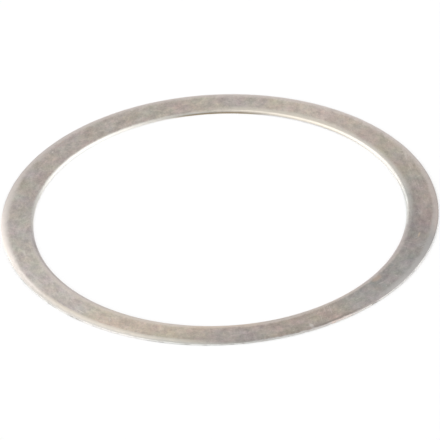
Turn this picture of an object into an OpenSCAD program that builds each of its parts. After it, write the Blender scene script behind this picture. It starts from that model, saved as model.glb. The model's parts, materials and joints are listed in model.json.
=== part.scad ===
// A thin flat ring washer, stamped from sheet in one piece.
// It lies on the plane z = 0 with its bore on the Z axis, and the punched side is up.
// The punch draws the sheet down as it enters, so both top edges are rolled over.
// Under each roll the wall has a bright sheared band, then a torn band that steps back.

/* [Ring] */
// Diameter of the bore, across its sheared band
bore_d = 46; // [20:0.5:120]
// Radial width of the ring, from its bore to its rim
band_w = 4; // [2:0.1:12]
// Thickness of the sheet
sheet_t = 0.3; // [0.25:0.01:0.45]

/* [Rolled edges] */
// Radial width of the rolled edge along the rim
rim_roll_w = 0.8; // [0.5:0.05:0.9]
// Share of the thickness that the rim's rolled edge drops by
rim_roll_share = 0.45; // [0.3:0.05:0.6]
// Radial width of the rolled edge round the bore
bore_roll_w = 0.45; // [0.4:0.05:0.8]
// Share of the thickness that the bore's rolled edge drops by
bore_roll_share = 0.85; // [0.4:0.05:0.85]
// Radius that blends a rolled edge into the wall under it
blend_r = 0.04; // [0.02:0.01:0.06]

/* [Wall under a rolled edge] */
// Share of the wall that is sheared bright; the rest of it, down to the foot, is torn
shear_share = 0.65; // [0.4:0.05:0.7]
// How far the torn band steps back from the sheared band by the bottom face
tear_back = 0.015; // [0.01:0.005:0.03]

/* [Hidden] */
$fn = 180;

bore_r = bore_d / 2;
rim_r = bore_r + band_w;
rim_drop = sheet_t * rim_roll_share;
bore_drop = sheet_t * bore_roll_share;

// How far a cutting shape runs past the metal, so that no faces are left level
past = sheet_t;

// Radius of the wide arc of a rolled edge. It starts level with the top face and
// meets the blend radius, which ends upright where the roll has dropped in full.
function roll_r(w, drop) = (w * w + drop * drop - 2 * w * blend_r) / (2 * (drop - blend_r));

// Slope at which the wide arc hands over to the blend radius
function roll_slope(w, drop) = asin((w - blend_r) / (roll_r(w, drop) - blend_r));

// What the punch takes away above the wide arc, with the square corner at the origin
module roll_waste(w, drop) {
    difference() {
        translate([-w, -drop])
            square([w + past, drop + past]);
        translate([-w, -roll_r(w, drop)])
            circle(r = roll_r(w, drop));
    }
}

// What is left of the corner outside the blend radius
module blend_waste(w, drop) {
    slope = roll_slope(w, drop);
    reach = blend_r + past;
    translate([-blend_r, -drop])
        difference() {
            polygon([
                [0, 0],
                [reach, 0],
                [reach, reach],
                [reach * sin(slope), reach * cos(slope)]
            ]);
            circle(r = blend_r);
        }
}

// What breaks away along the torn band, with the foot of the square wall at the origin
module tear_waste(torn_h) {
    polygon([
        [0, torn_h],
        [-tear_back, 0],
        [-tear_back * (1 + past / torn_h), -past],
        [past, -past],
        [past, torn_h]
    ]);
}

// Everything that comes off one edge, for a wall at x = 0 with the metal on its left
module edge_waste(w, drop) {
    translate([0, sheet_t]) {
        roll_waste(w, drop);
        blend_waste(w, drop);
    }
    tear_waste((sheet_t - drop) * (1 - shear_share));
}

// The section of the band, with x as the radius
module band_section() {
    difference() {
        translate([bore_r, 0])
            square([band_w, sheet_t]);
        translate([rim_r, 0])
            edge_waste(rim_roll_w, rim_drop);
        translate([bore_r, 0])
            mirror([1, 0])
                edge_waste(bore_roll_w, bore_drop);
    }
}

module washer() {
    color([0.69, 0.66, 0.63])
        rotate_extrude()
            band_section();
}

washer();
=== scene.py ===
import json
import math

import bpy
from mathutils import Matrix, Vector, noise


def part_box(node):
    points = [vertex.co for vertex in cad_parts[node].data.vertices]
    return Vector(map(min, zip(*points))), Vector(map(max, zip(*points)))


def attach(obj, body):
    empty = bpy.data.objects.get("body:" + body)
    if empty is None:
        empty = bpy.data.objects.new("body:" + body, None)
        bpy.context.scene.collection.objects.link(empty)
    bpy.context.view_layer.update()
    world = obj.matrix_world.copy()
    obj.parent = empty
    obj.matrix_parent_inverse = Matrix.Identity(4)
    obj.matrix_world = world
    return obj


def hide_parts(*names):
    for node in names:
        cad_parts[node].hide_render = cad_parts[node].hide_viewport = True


# A thin stamped ring washer, lying on a white studio floor.

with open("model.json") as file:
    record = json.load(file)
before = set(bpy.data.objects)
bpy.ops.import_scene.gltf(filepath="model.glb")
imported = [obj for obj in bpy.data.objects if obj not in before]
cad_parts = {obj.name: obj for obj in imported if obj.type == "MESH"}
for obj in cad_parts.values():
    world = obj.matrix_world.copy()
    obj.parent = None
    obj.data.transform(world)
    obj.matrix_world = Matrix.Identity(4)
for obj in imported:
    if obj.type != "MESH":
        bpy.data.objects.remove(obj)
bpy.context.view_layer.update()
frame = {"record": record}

MM = 0.001

# Sizes of the washer, from the frame
LOW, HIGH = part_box("washer")
MOUNTS = {mount["name"]: mount for mount in frame["record"]["mounts"]}
RIM_R = MOUNTS["rim"]["dims"]["r_mm"] * MM
BORE_R = MOUNTS["bore"]["dims"]["r_mm"] * MM
SHEET_T = HIGH.z - LOW.z

# One stamped edge: width and drop of its rolled part, the radius that blends it into the wall,
# height of the torn band, how far that band steps back at the foot, how far the edge wanders,
# and the lane of the noise that it sways by
RIM_EDGE = {
    "roll_w": 0.80 * MM,
    "drop": 0.135 * MM,
    "blend": 0.04 * MM,
    "torn_h": 0.058 * MM,
    "back": 0.015 * MM,
    "wander": 0.035 * MM,
    "lane": 20.0,
}
BORE_EDGE = {
    "roll_w": 0.45 * MM,
    "drop": 0.255 * MM,
    "blend": 0.04 * MM,
    "torn_h": 0.016 * MM,
    "back": 0.015 * MM,
    "wander": 0.015 * MM,
    "lane": 3.0,
}

# Fineness of the mesh
SEGMENTS = 720
ARC_STEPS = 12
BLEND_STEPS = 6
WALL_STEPS = 2
FACE_STEPS = 8

# How unevenly the punch has worked. Each size sways by a share of its even size, and its
# waves are (how closely they follow each other round the ring, share of the sway).
ROLL_SWAY = 0.10
ROLL_WAVES = ((1.5, 0.7), (11, 0.3))
TORN_SWAY = 0.45
TORN_WAVES = ((9, 0.5), (60, 0.5))
BACK_SWAY = 0.5
BACK_WAVES = ((40, 1.0),)
WANDER_MEAN = 0.5
WANDER_WAVES = ((25, 0.3), (80, 0.2))

# Lanes of noise apart from the edge's own, so that its sizes sway independently
TORN_LANE = 5
BACK_LANE = 9
WANDER_LANE = 13

# Gain that brings the noise to about -1 to 1
NOISE_GAIN = 1.6

# Nicks in the rim, as (angle in degrees, width along the rim, depth)
NICKS = (
    (-68.5, 0.7 * MM, 0.07 * MM),
    (-61.0, 1.1 * MM, 0.05 * MM),
    (-47.0, 0.9 * MM, 0.05 * MM),
)


def sway(turn, lane, waves):
    """A smooth value of about -1 to 1 that closes on itself round the ring."""
    total = 0.0
    for closeness, share in waves:
        place = Vector((math.cos(turn) * closeness, math.sin(turn) * closeness, lane))
        total += share * (noise.noise(place) * NOISE_GAIN)
    return total


def nick_depth(turn):
    """How far the nicks cut into the rim at one turn."""
    depth = 0.0
    for angle, width, deepest in NICKS:
        away = (turn - math.radians(angle) + math.pi) % (2 * math.pi) - math.pi
        off = abs(away) * RIM_R
        depth = max(depth, deepest * max(0.0, 1 - (2 * off / width) ** 2))
    return depth


def edge_profile(edge, turn, cut=0.0):
    """Points of one edge from the top face down, as (inset from the wall, height)."""
    lane, drop, blend = edge["lane"], edge["drop"], edge["blend"]
    width = edge["roll_w"] * (1 + ROLL_SWAY * sway(turn, lane, ROLL_WAVES))
    torn_h = edge["torn_h"] * (1 + TORN_SWAY * sway(turn, lane + TORN_LANE, TORN_WAVES))
    back = edge["back"] * (1 + BACK_SWAY * sway(turn, lane + BACK_LANE, BACK_WAVES))
    wander = edge["wander"] * (WANDER_MEAN + sway(turn, lane + WANDER_LANE, WANDER_WAVES))
    wide_r = (width**2 + drop**2 - 2 * width * blend) / (2 * (drop - blend))
    slope = math.asin((width - blend) / (wide_r - blend))
    points = []
    for i in range(ARC_STEPS):
        a = slope * i / ARC_STEPS
        points.append((width - wide_r * math.sin(a), SHEET_T - wide_r * (1 - math.cos(a))))
    for i in range(BLEND_STEPS + 1):
        a = slope + (math.pi / 2 - slope) * i / BLEND_STEPS
        points.append((blend * (1 - math.sin(a)), SHEET_T - drop + blend * math.cos(a)))
    for i in range(1, WALL_STEPS + 1):
        points.append((0.0, SHEET_T - drop + (torn_h - SHEET_T + drop) * i / WALL_STEPS))
    for i in range(1, WALL_STEPS + 1):
        points.append((back * i / WALL_STEPS, torn_h * (1 - i / WALL_STEPS)))
    return [(inset + max(0.0, wander) + cut, z) for inset, z in points]


def between(a, b, steps):
    """The points that split the way from a to b into steps, without its ends."""
    return [
        (a[0] + (b[0] - a[0]) * i / steps, a[1] + (b[1] - a[1]) * i / steps)
        for i in range(1, steps)
    ]


def ring_section(turn):
    """The closed section of the band at one turn, as (radius, height)."""
    bore_side = [(BORE_R + inset, z) for inset, z in edge_profile(BORE_EDGE, turn)][::-1]
    rim_side = [(RIM_R - inset, z) for inset, z in edge_profile(RIM_EDGE, turn, nick_depth(turn))]
    face = between(bore_side[-1], rim_side[0], FACE_STEPS)
    under = between(rim_side[-1], bore_side[0], FACE_STEPS)
    return bore_side + face + rim_side + under


def build_washer():
    """The ring as one closed mesh, its section carried once round the bore."""
    verts = []
    for k in range(SEGMENTS):
        turn = 2 * math.pi * k / SEGMENTS
        section = ring_section(turn)
        verts += [(r * math.cos(turn), r * math.sin(turn), z) for r, z in section]
    count = len(section)
    faces = []
    for k in range(SEGMENTS):
        here, there = k * count, (k + 1) % SEGMENTS * count
        for j in range(count):
            after = (j + 1) % count
            faces.append((here + j, here + after, there + after, there + j))
    mesh = bpy.data.meshes.new("washer_ring")
    mesh.from_pydata(verts, [], faces)
    mesh.update()
    mesh.shade_smooth()
    ring = bpy.data.objects.new("washer_ring", mesh)
    bpy.context.scene.collection.objects.link(ring)
    return ring


# Places of the Mix node's sockets for numbers and for colours
NUMBER_A, NUMBER_B = 2, 3
COLOUR_A, COLOUR_B, COLOUR_OUT = 6, 7, 2


class Graph:
    """Shorthand for building one node tree."""

    def __init__(self, tree):
        self.tree = tree
        tree.nodes.clear()

    def add(self, kind, inputs=None, **settings):
        """A new node, its inputs given as sockets or values by name or place."""
        made = self.tree.nodes.new(kind)
        for key, value in settings.items():
            setattr(made, key, value)
        for name, value in (inputs or {}).items():
            self.feed(made.inputs[name], value)
        return made

    def feed(self, socket, value):
        """Links a socket to an input, or writes a value on it."""
        if isinstance(value, bpy.types.NodeSocket):
            self.tree.links.new(value, socket)
        elif socket.type == "RGBA" and len(value) == 3:
            socket.default_value = (*value, 1.0)
        else:
            socket.default_value = value

    def calc(self, operation, *values):
        """One step of arithmetic."""
        made = self.add("ShaderNodeMath", dict(enumerate(values)), operation=operation)
        return made.outputs[0]

    def step(self, value, low, high, at_low=0.0, at_high=1.0):
        """A smooth change from at_low to at_high as the value goes from low to high."""
        inputs = {
            "Value": value, "From Min": low, "From Max": high, "To Min": at_low, "To Max": at_high,
        }
        made = self.add("ShaderNodeMapRange", inputs, interpolation_type="SMOOTHSTEP")
        return made.outputs[0]

    def blend(self, share, a, b):
        """The number between a and b at a share of the way."""
        inputs = {0: share, NUMBER_A: a, NUMBER_B: b}
        return self.add("ShaderNodeMix", inputs, data_type="FLOAT").outputs[0]

    def mix(self, share, a, b, blend="MIX"):
        """The colour between a and b at a share of the way, or a blended with b."""
        inputs = {0: share, COLOUR_A: a, COLOUR_B: b}
        made = self.add("ShaderNodeMix", inputs, data_type="RGBA", blend_type=blend)
        return made.outputs[COLOUR_OUT]

    def tint(self, a, b):
        """One colour times another."""
        return self.mix(1.0, a, b, "MULTIPLY")

    def grey(self, value):
        """A grey colour from a number."""
        return self.add("ShaderNodeCombineColor", {0: value, 1: value, 2: value}).outputs[0]

    def stretch(self, place, scale, shift=(0, 0, 0), turn=0.0):
        """Coordinates turned about Z by an angle in degrees, moved, and then stretched."""
        inputs = {"Vector": place, "Location": shift, "Rotation": (0, 0, math.radians(turn))}
        turned = self.add("ShaderNodeMapping", inputs).outputs[0]
        return self.add("ShaderNodeMapping", {"Vector": turned, "Scale": scale}).outputs[0]

    def noise(self, place, scale, detail=2.0, roughness=0.5):
        """Cloudy noise of about 0 to 1."""
        inputs = {"Vector": place, "Scale": scale, "Detail": detail, "Roughness": roughness}
        return self.add("ShaderNodeTexNoise", inputs).outputs["Fac"]


# Camera: the photograph's viewing angle, from so many radii of the rim away
VIEW_ELEVATION = math.radians(34.74)
VIEW_ROLL = math.radians(-2.70)
VIEW_RADII = 80.0
CLIP_NEAR = 0.01
CLIP_FAR = 10.0
SENSOR = 36.0

# Framing in the photograph's pixels: its width, the rim's radius, and how far the washer
# lies to the left of the middle and above it
FRAME_PX = 440.0
RIM_R_PX = 219.04
LEFT_PX = 0.15
UP_PX = 0.83


def add_camera():
    """The camera, level but for the roll, aimed at the middle of the washer."""
    camera = bpy.data.cameras.new("camera")
    camera.sensor_width = SENSOR
    camera.lens = SENSOR * RIM_R_PX / FRAME_PX * VIEW_RADII
    camera.shift_x = LEFT_PX / FRAME_PX
    camera.shift_y = -UP_PX / FRAME_PX
    camera.clip_start = CLIP_NEAR
    camera.clip_end = CLIP_FAR
    holder = bpy.data.objects.new("camera", camera)
    bpy.context.scene.collection.objects.link(holder)
    back = Vector((0.0, -math.cos(VIEW_ELEVATION), math.sin(VIEW_ELEVATION)))
    level = Vector((1.0, 0.0, 0.0))
    upright = back.cross(level)
    right = level * math.cos(VIEW_ROLL) + upright * math.sin(VIEW_ROLL)
    up = upright * math.cos(VIEW_ROLL) - level * math.sin(VIEW_ROLL)
    turn = Matrix((right, up, back)).transposed().to_4x4()
    holder.matrix_world = Matrix.Translation(back * VIEW_RADII * RIM_R) @ turn
    bpy.context.scene.camera = holder


# Studio: softboxes round the washer, as (name, azimuth and elevation in degrees, size, radiance)
LIGHT_DISTANCE = 0.8
SOFTBOXES = (
    ("left", 141, 48, (0.84, 0.94), 1.16),
    ("right", 2, 41, (1.08, 0.85), 0.94),
    ("low", 228, 18, (0.70, 0.36), 2.15),
)
# Strength of the light from all round, and of the white that the camera sees in its place
WORLD_LEVEL = 0.52
BACKGROUND_LEVEL = 1.0

# Floor: its side, its colour, the light that it adds to what the camera sees, and its drop
# below the underside, which keeps the two from touching
FLOOR_SIZE = 4.0
FLOOR_COLOUR = (0.92, 0.92, 0.92)
FLOOR_LIFT = 0.075
FLOOR_DROP = 0.002 * MM


def add_softbox(name, azimuth, elevation, size, radiance):
    """A rectangular lamp that faces the washer and that the camera doesn't see."""
    light = bpy.data.lights.new(name, "AREA")
    light.shape = "RECTANGLE"
    light.size, light.size_y = size
    light.energy = radiance * math.pi * size[0] * size[1]
    holder = bpy.data.objects.new(name, light)
    bpy.context.scene.collection.objects.link(holder)
    a, e = math.radians(azimuth), math.radians(elevation)
    aim = Vector((math.cos(a) * math.cos(e), math.sin(a) * math.cos(e), math.sin(e)))
    place = aim * LIGHT_DISTANCE
    holder.location = place
    holder.rotation_mode = "QUATERNION"
    holder.rotation_quaternion = place.to_track_quat("Z", "Y")
    holder.visible_camera = False


def add_world():
    """Soft light from all round, seen as white by the camera."""
    world = bpy.data.worlds.new("studio")
    bpy.context.scene.world = world
    world.use_nodes = True
    graph = Graph(world.node_tree)
    soft = graph.add("ShaderNodeBackground", {"Color": (1, 1, 1), "Strength": WORLD_LEVEL})
    white = graph.add("ShaderNodeBackground", {"Color": (1, 1, 1), "Strength": BACKGROUND_LEVEL})
    seen = graph.add("ShaderNodeLightPath").outputs["Is Camera Ray"]
    inputs = {0: seen, 1: soft.outputs[0], 2: white.outputs[0]}
    both = graph.add("ShaderNodeMixShader", inputs)
    graph.add("ShaderNodeOutputWorld", {"Surface": both.outputs[0]})


def floor_paint():
    """Matte white that keeps shadows, lifted a little for the camera and for reflections."""
    material = bpy.data.materials.new("floor_white")
    material.use_nodes = True
    graph = Graph(material.node_tree)
    matte = graph.add("ShaderNodeBsdfDiffuse", {"Color": FLOOR_COLOUR})
    path = graph.add("ShaderNodeLightPath")
    seen = graph.calc("MAXIMUM", path.outputs["Is Camera Ray"], path.outputs["Is Glossy Ray"])
    lift = graph.add("ShaderNodeEmission", {"Strength": graph.calc("MULTIPLY", seen, FLOOR_LIFT)})
    both = graph.add("ShaderNodeAddShader", {0: matte.outputs[0], 1: lift.outputs[0]})
    graph.add("ShaderNodeOutputMaterial", {"Surface": both.outputs[0]})
    return material


def add_floor():
    """The studio floor, one square under the washer."""
    half = FLOOR_SIZE / 2
    corners = [(-half, -half, 0), (half, -half, 0), (half, half, 0), (-half, half, 0)]
    mesh = bpy.data.meshes.new("floor")
    mesh.from_pydata(corners, [], [(0, 1, 2, 3)])
    mesh.materials.append(floor_paint())
    floor = bpy.data.objects.new("floor", mesh)
    bpy.context.scene.collection.objects.link(floor)
    floor.location.z = LOW.z - FLOOR_DROP


# Steel of the face, and of the sheared and the torn band of a wall
STEEL = (0.570, 0.511, 0.464)
SHEARED = (0.98, 0.96, 0.93)
TORN = (1.00, 0.98, 0.95)

# Roughness of the face and how far the grain moves it, of rubbed edges, and of walls
FACE_ROUGHNESS = 0.48
ROUGHNESS_SWING = 0.05
EDGE_ROUGHNESS = 0.37
WALL_ROUGHNESS = 0.62

# How strongly the finish is drawn out round the ring, and the turn that lays it that way
DRAWN_OUT = 0.6
DRAWN_TURN = 0.25

# Share of an arc's half width, or of the reach of a stain or painted shade, over which it is in
# full
PLATEAU = 0.4

# Painted light and shade over patches of the face, some with a tint, as (angle and half width in
# degrees, colour that tints them)
PAINTED_FACE_LIGHT_AND_TINT = (
    (4, 56, (0.82, 0.81, 0.82)),
    (-33, 28, (0.90, 0.95, 0.98)),
    (-66, 16, (0.97, 0.92, 0.90)),
    (-91, 12, (0.91, 0.91, 0.93)),
    (-114, 24, (1.04, 1.01, 0.94)),
    (-160, 40, (0.98, 1.01, 1.02)),
    (-46, 12, (0.93, 0.93, 0.93)),
    (-1, 9, (1.06, 1.01, 1.00)),
    (24, 18, (1.03, 1.04, 0.99)),
    (100, 18, (1.03, 1.03, 1.00)),
    (81, 8, (0.97, 0.99, 1.00)),
    (56, 36, (1.02, 1.01, 0.97)),
    (-25, 9, (1.08, 1.08, 1.08)),
)

# Rubbed, burnished steel along an edge, mostly brighter, with painted highlight and painted shade
# in its colour:
# how far from the wall it begins and is in full, in mm, then the arc that it lies on, as angle and
# half width in degrees, and its colour. Later ones lie over earlier ones.
RIM_BURNISH_AND_PAINTED_LIGHT = (
    (1.05, 0.10, 100, 150, (0.92, 0.835, 0.785)),
    (1.25, 0.42, 178, 24, (0.89, 0.82, 0.765)),
    (0.84, 0.38, -152, 24, (0.89, 0.82, 0.765)),
    (0.90, 0.72, -122, 32, (0.71, 0.65, 0.57)),
    (0.50, 0.10, -122, 48, (0.55, 0.52, 0.48)),
    (0.95, 0.45, -24, 27, (0.62, 0.60, 0.58)),
    (0.92, 0.15, 2, 17, (0.82, 0.73, 0.68)),
    (0.62, 0.28, -59.5, 8, (0.46, 0.41, 0.37)),
    (0.24, 0.08, -66, 20, (0.81, 0.78, 0.76)),
    (0.30, 0.05, -59, 2.6, (0.96, 0.84, 0.77)),
    (0.30, 0.05, -56, 1.5, (0.99, 0.90, 0.84)),
)
BORE_BURNISH_AND_PAINTED_LIGHT = (
    (1.22, 0.38, 35, 46, (0.77, 0.73, 0.675)),
    (0.42, 0.08, 1, 16, (0.93, 0.90, 0.85)),
    (1.32, 0.60, 68, 28, (0.79, 0.73, 0.64)),
    (0.45, 0.15, 108, 22, (0.78, 0.75, 0.69)),
    (0.52, 0.14, 150, 44, (0.88, 0.86, 0.81)),
    (1.15, 0.50, -132, 46, (0.72, 0.65, 0.57)),
    (0.85, 0.40, -65, 76, (0.83, 0.745, 0.68)),
    (1.10, 0.65, -75, 13, (0.80, 0.72, 0.66)),
    (0.60, 0.30, 16, 11, (0.66, 0.63, 0.585)),
    (0.26, 0.10, 16, 11, (0.84, 0.81, 0.76)),
)

# Stains along an edge, wall and all, with painted shade at the foot and painted light and shade
# over the band: how far from the wall they reach, in mm, then their arc, as angle and half width
# in degrees, and the colour that tints them
RIM_STAINS_AND_PAINTED_SHADE = (
    (0.75, -66, 30, (0.91, 0.90, 0.90)),
    (0.62, -61, 11, (0.94, 0.93, 0.92)),
    (2.00, -88, 30, (0.90, 0.925, 0.925)),
    (0.20, 9, 40, (0.86, 0.86, 0.87)),
    (0.22, 147, 28, (0.84, 0.84, 0.85)),
    (1.50, -153, 14, (0.95, 0.95, 0.95)),
    (0.20, -37, 9, (0.88, 0.88, 0.88)),
)
BORE_STAINS_AND_PAINTED_LIGHT = (
    (0.13, 89, 16, (0.54, 0.46, 0.34)),
    (0.11, 66, 22, (0.80, 0.81, 0.84)),
    (2.20, 0, 16, (0.89, 0.93, 0.95)),
    (0.90, -153, 30, (1.00, 1.00, 1.08)),
    (0.80, -27, 24, (0.94, 0.94, 0.98)),
    (2.00, -90, 14, (1.04, 1.00, 0.95)),
)

# Specks on the face, as (how many to a mm, shift that places them, share left out, colour)
SPECKS = (
    (1.3, (0, 0, 0), 0.45, (0.79, 0.72, 0.67)),
    (0.9, (31, 17, 0), 0.72, (0.36, 0.31, 0.27)),
)
# How much of its colour a speck shows, where it starts to fade and ends, in cells, and the
# range of chance over which specks fade in
SPECK_SHARE = 0.50
SPECK_CORE = 0.06
SPECK_END = 0.17
SPECK_CHANCE_STEP = 0.05

# Single marks, as (angle in degrees, radius, width and length along the ring in mm, colour)
MARKS = (
    (-13.3, 25.06, (0.26, 1.3), (0.68, 0.57, 0.45)),
    (142.0, 25.8, (0.28, 0.35), (0.80, 0.75, 0.70)),
    (136.5, 26.2, (0.30, 0.50), (0.60, 0.47, 0.42)),
    (-133.0, 25.7, (0.12, 1.6), (0.80, 0.75, 0.68)),
    (-66.3, 26.4, (1.3, 0.6), (0.78, 0.73, 0.68)),
    (-38.0, 23.9, (1.1, 1.9), (0.58, 0.47, 0.40)),
)
# How much of its colour a mark shows, and where it starts to fade and ends, in half sizes
MARK_SHARE = 0.8
MARK_CORE = 0.4
MARK_END = 1.2

# Fine scratches, as (direction in degrees, shift that places them), drawn out along their way,
# and how much of their colour they show
SCRATCHES = ((-37, (5, 11, 0)), (22, (60, 3, 0)), (80, (9, 70, 0)))
SCRATCH_STRETCH = (0.07, 2.6, 1)
SCRATCH_DETAIL = 1.0
SCRATCH_COLOUR = (0.82, 0.79, 0.75)
SCRATCH_SHARE = 0.30
# A scratch runs where its noise has this level. It starts to fade and ends this far off it.
SCRATCH_LEVEL = 0.5
SCRATCH_CORE = 0.004
SCRATCH_END = 0.016
# Patches that have scratches: scale and detail of their noise, and where it fades them in
SCRATCH_PATCH = (0.35, 2.0)
SCRATCH_PATCH_FROM = 0.52
SCRATCH_PATCH_TO = 0.62

# Bump of the grain: height in metres, strength, and how deep a scratch cuts into it
BUMP_HEIGHT = 0.004 * MM
BUMP_STRENGTH = 0.5
SCRATCH_DEPTH = 0.5

# Where a wall's own colour starts to fade and ends, as inset in mm
WALL_FROM = 0.015
WALL_TO = 0.040

# Where the torn band's colour starts to fade and ends, as shares of its height, and how
# much its upper line follows the ragged noise
TORN_FROM = 0.7
TORN_TO = 1.1
TORN_RAGGED = 0.1

# Ragged noise that frays the burnished bands with their painted highlight and shade: scale,
# detail, and its full reach in mm
RAGGED_SCALE = 1.6
RAGGED_DETAIL = 3.0
RAGGED_REACH = 0.32

# Grain of the face: how often its noise repeats to a mm in x, in y and in radius, its detail
# and roughness, the range of it that counts, and how far that darkens and lightens the face
# and, more faintly, the burnished bands with their painted highlight and shade
GRAIN_STRETCH = (0.85, 0.53, 0.60)
GRAIN_DETAIL = 5.0
GRAIN_ROUGHNESS = 0.9
GRAIN_LOW = 0.2
GRAIN_HIGH = 0.8
GRAIN_DARK = 0.68
GRAIN_PALE = 1.32
FAINT_DARK = 0.94
FAINT_PALE = 1.06

# How far each colour strays, and the noise that it strays by
HUE_STRAY = 0.26
HUE_NOISE = {"Scale": 0.4, "Detail": 4.0, "Roughness": 0.68}


def arc(graph, angle, centre, half_width):
    """A mask over an arc of the ring: 1 in its middle, fading to 0 at its ends."""
    nearness = graph.calc("COSINE", graph.calc("SUBTRACT", angle, math.radians(centre)))
    half = math.radians(half_width)
    return graph.step(nearness, math.cos(half), math.cos(half * PLATEAU))


def paint_face_light_and_tint(graph, colour, angle):
    """Paints light and shade, some with a tint, over patches of the face round the ring."""
    for centre, half_width, tint in PAINTED_FACE_LIGHT_AND_TINT:
        tinted = graph.tint(colour, tint)
        colour = graph.mix(arc(graph, angle, centre, half_width), colour, tinted)
    return colour


def lay_burnish_and_painted_light(graph, bands_with_painted_light, inset, angle, coat, faint):
    """Lays the burnished bands of one edge, with their painted highlight and shade, over a coat,
    which is a pair of colour and roughness.
    """
    colour, roughness = coat
    for start, full, centre, half_width, burnish_and_painted_tone in bands_with_painted_light:
        band = graph.step(inset, full, start, 1.0, 0.0)
        here = graph.calc("MULTIPLY", band, arc(graph, angle, centre, half_width))
        colour = graph.mix(here, colour, graph.tint(burnish_and_painted_tone, faint))
        roughness = graph.blend(here, roughness, EDGE_ROUGHNESS)
    return colour, roughness


def stain_and_paint_light(graph, stains_and_painted_light, inset, angle, colour):
    """Tints arcs along one edge with stains and with painted light and shade."""
    for reach, centre, half_width, tint in stains_and_painted_light:
        band = graph.step(inset, reach * PLATEAU, reach, 1.0, 0.0)
        here = graph.calc("MULTIPLY", band, arc(graph, angle, centre, half_width))
        colour = graph.mix(here, colour, graph.tint(colour, tint))
    return colour


def wall(graph, inset, z, torn_h, ragged, coat):
    """Lays the sheared band of a wall over a coat, and the torn band at its foot."""
    colour, roughness = coat
    here = graph.step(inset, WALL_FROM, WALL_TO, 1.0, 0.0)
    depth = graph.calc("MULTIPLY_ADD", ragged, -TORN_RAGGED, z)
    torn = graph.step(depth, TORN_FROM * torn_h / MM, TORN_TO * torn_h / MM, 1.0, 0.0)
    own = graph.mix(torn, SHEARED, TORN)
    return graph.mix(here, colour, own), graph.blend(here, roughness, WALL_ROUGHNESS)


def grain(graph, x, y, radius):
    """Lightness of the fine mottle that a worn sheet has, drawn out a little along the ring."""
    around = graph.add("ShaderNodeCombineXYZ", {0: x, 1: y, 2: radius}).outputs[0]
    around = graph.stretch(around, GRAIN_STRETCH)
    return graph.noise(around, 1.0, GRAIN_DETAIL, GRAIN_ROUGHNESS)


def face_colour(graph, place, mottle):
    """Satin steel with a fine mottle in lightness and in hue."""
    stray = graph.add("ShaderNodeTexNoise", {"Vector": place, **HUE_NOISE}).outputs["Color"]
    inputs = {0: stray, 1: (HUE_STRAY,) * 3, 2: (1 - HUE_STRAY / 2,) * 3}
    spread = graph.add("ShaderNodeVectorMath", inputs, operation="MULTIPLY_ADD").outputs[0]
    colour = graph.tint(STEEL, spread)
    shade = graph.step(mottle, GRAIN_LOW, GRAIN_HIGH, GRAIN_DARK, GRAIN_PALE)
    return graph.tint(colour, graph.grey(shade))


def specks(graph, place, colour):
    """Small pale and dark dots, set apart and scattered."""
    for density, shift, left_out, tone in SPECKS:
        inputs = {"Vector": graph.stretch(place, (1, 1, 1), shift), "Scale": density}
        cells = graph.add("ShaderNodeTexVoronoi", inputs).outputs
        dot = graph.step(cells["Distance"], SPECK_CORE, SPECK_END, SPECK_SHARE, 0.0)
        chance = graph.add("ShaderNodeSeparateColor", {"Color": cells["Color"]}).outputs[0]
        kept = graph.step(chance, left_out, left_out + SPECK_CHANCE_STEP)
        colour = graph.mix(graph.calc("MULTIPLY", dot, kept), colour, tone)
    return colour


def marks(graph, place, colour):
    """The few marks that stand out on the face by themselves."""
    for angle, radius, (width, length), tone in MARKS:
        spot = graph.stretch(place, (2 / width, 2 / length, 0), (-radius, 0, 0), -angle)
        away = graph.add("ShaderNodeVectorMath", {0: spot}, operation="LENGTH").outputs["Value"]
        here = graph.step(away, MARK_CORE, MARK_END, MARK_SHARE, 0.0)
        colour = graph.mix(here, colour, tone)
    return colour


def scratches(graph, place):
    """A mask of thin, broken lines in a few directions."""
    lines = 0.0
    for turn, shift in SCRATCHES:
        run = graph.noise(graph.stretch(place, SCRATCH_STRETCH, shift, turn), 1.0, SCRATCH_DETAIL)
        off = graph.calc("ABSOLUTE", graph.calc("SUBTRACT", run, SCRATCH_LEVEL))
        cloud = graph.noise(graph.stretch(place, (1, 1, 1), shift), *SCRATCH_PATCH)
        patch = graph.step(cloud, SCRATCH_PATCH_FROM, SCRATCH_PATCH_TO)
        line = graph.step(off, SCRATCH_CORE, SCRATCH_END, 1.0, 0.0)
        lines = graph.calc("MAXIMUM", lines, graph.calc("MULTIPLY", line, patch))
    return lines


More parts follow.
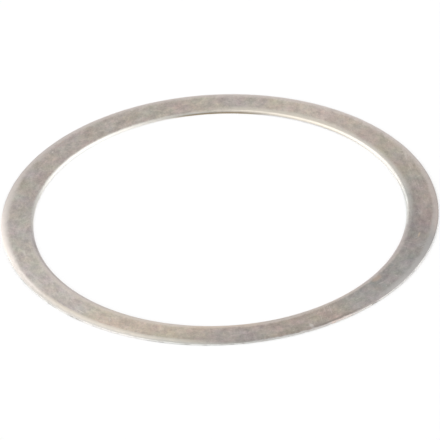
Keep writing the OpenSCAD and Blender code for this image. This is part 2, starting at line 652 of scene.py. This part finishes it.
def steel():
    """Bare steel sheet: mottled satin faces with painted light and shade, burnished rolled edges
    with painted highlight and shade, a sheared wall, a torn foot, stains and painted shade along
    the edges.
    """
    material = bpy.data.materials.new("steel")
    material.use_nodes = True
    graph = Graph(material.node_tree)

    # Places in mm: along the axes, in from each wall, and round the ring
    metres = graph.add("ShaderNodeTexCoord").outputs["Object"]
    inputs = {0: metres, "Scale": 1 / MM}
    place = graph.add("ShaderNodeVectorMath", inputs, operation="SCALE").outputs[0]
    x, y, z = graph.add("ShaderNodeSeparateXYZ", {0: place}).outputs
    squares = graph.calc("ADD", graph.calc("POWER", x, 2.0), graph.calc("POWER", y, 2.0))
    radius = graph.calc("SQRT", squares)
    rim_in = graph.calc("SUBTRACT", RIM_R / MM, radius)
    bore_in = graph.calc("SUBTRACT", radius, BORE_R / MM)
    angle = graph.calc("ARCTAN2", y, x)
    cloud = graph.noise(place, RAGGED_SCALE, RAGGED_DETAIL)
    ragged = graph.calc("MULTIPLY_ADD", cloud, RAGGED_REACH, -RAGGED_REACH / 2)

    # The face
    mottle = grain(graph, x, y, radius)
    lines = scratches(graph, place)
    # Painted light and shade, some with a tint, over patches of the face
    face = paint_face_light_and_tint(graph, face_colour(graph, place, mottle), angle)
    face = marks(graph, place, specks(graph, place, face))
    face = graph.mix(graph.calc("MULTIPLY", lines, SCRATCH_SHARE), face, SCRATCH_COLOUR)
    rough, smooth = FACE_ROUGHNESS + ROUGHNESS_SWING, FACE_ROUGHNESS - ROUGHNESS_SWING
    coat = face, graph.step(mottle, GRAIN_LOW, GRAIN_HIGH, rough, smooth)

    # The edges, over the face
    faint = graph.grey(graph.step(mottle, GRAIN_LOW, GRAIN_HIGH, FAINT_DARK, FAINT_PALE))
    # Burnished rolled edges, their colours carrying painted highlight and shade
    coat = lay_burnish_and_painted_light(graph, RIM_BURNISH_AND_PAINTED_LIGHT, graph.calc("ADD", rim_in, ragged), angle, coat, faint)
    coat = lay_burnish_and_painted_light(graph, BORE_BURNISH_AND_PAINTED_LIGHT, graph.calc("ADD", bore_in, ragged), angle, coat, faint)
    coat = wall(graph, rim_in, z, RIM_EDGE["torn_h"], ragged, coat)
    coat = wall(graph, bore_in, z, BORE_EDGE["torn_h"], ragged, coat)
    colour, roughness = coat
    # Stains along the edges, with painted shade at the feet and painted light and shade over the
    # bands
    colour = stain_and_paint_light(graph, RIM_STAINS_AND_PAINTED_SHADE, rim_in, angle, colour)
    colour = stain_and_paint_light(graph, BORE_STAINS_AND_PAINTED_LIGHT, bore_in, angle, colour)

    height = graph.calc("MULTIPLY_ADD", lines, -SCRATCH_DEPTH, mottle)
    bumped = {"Strength": BUMP_STRENGTH, "Distance": BUMP_HEIGHT, "Height": height}
    shader = graph.add("ShaderNodeBsdfPrincipled", {
        "Base Color": colour,
        "Metallic": 1.0,
        "Roughness": roughness,
        "Anisotropic": DRAWN_OUT,
        "Anisotropic Rotation": DRAWN_TURN,
        "Normal": graph.add("ShaderNodeBump", bumped).outputs[0],
        "Tangent": graph.add("ShaderNodeTangent", direction_type="RADIAL", axis="Z").outputs[0],
    })
    graph.add("ShaderNodeOutputMaterial", {"Surface": shader.outputs[0]})
    return material


add_camera()
add_world()
add_floor()
for softbox in SOFTBOXES:
    add_softbox(*softbox)

ring = build_washer()
ring.data.materials.append(steel())
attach(ring, "root")
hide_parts("washer")

bpy.context.scene.view_settings.view_transform = "Standard"
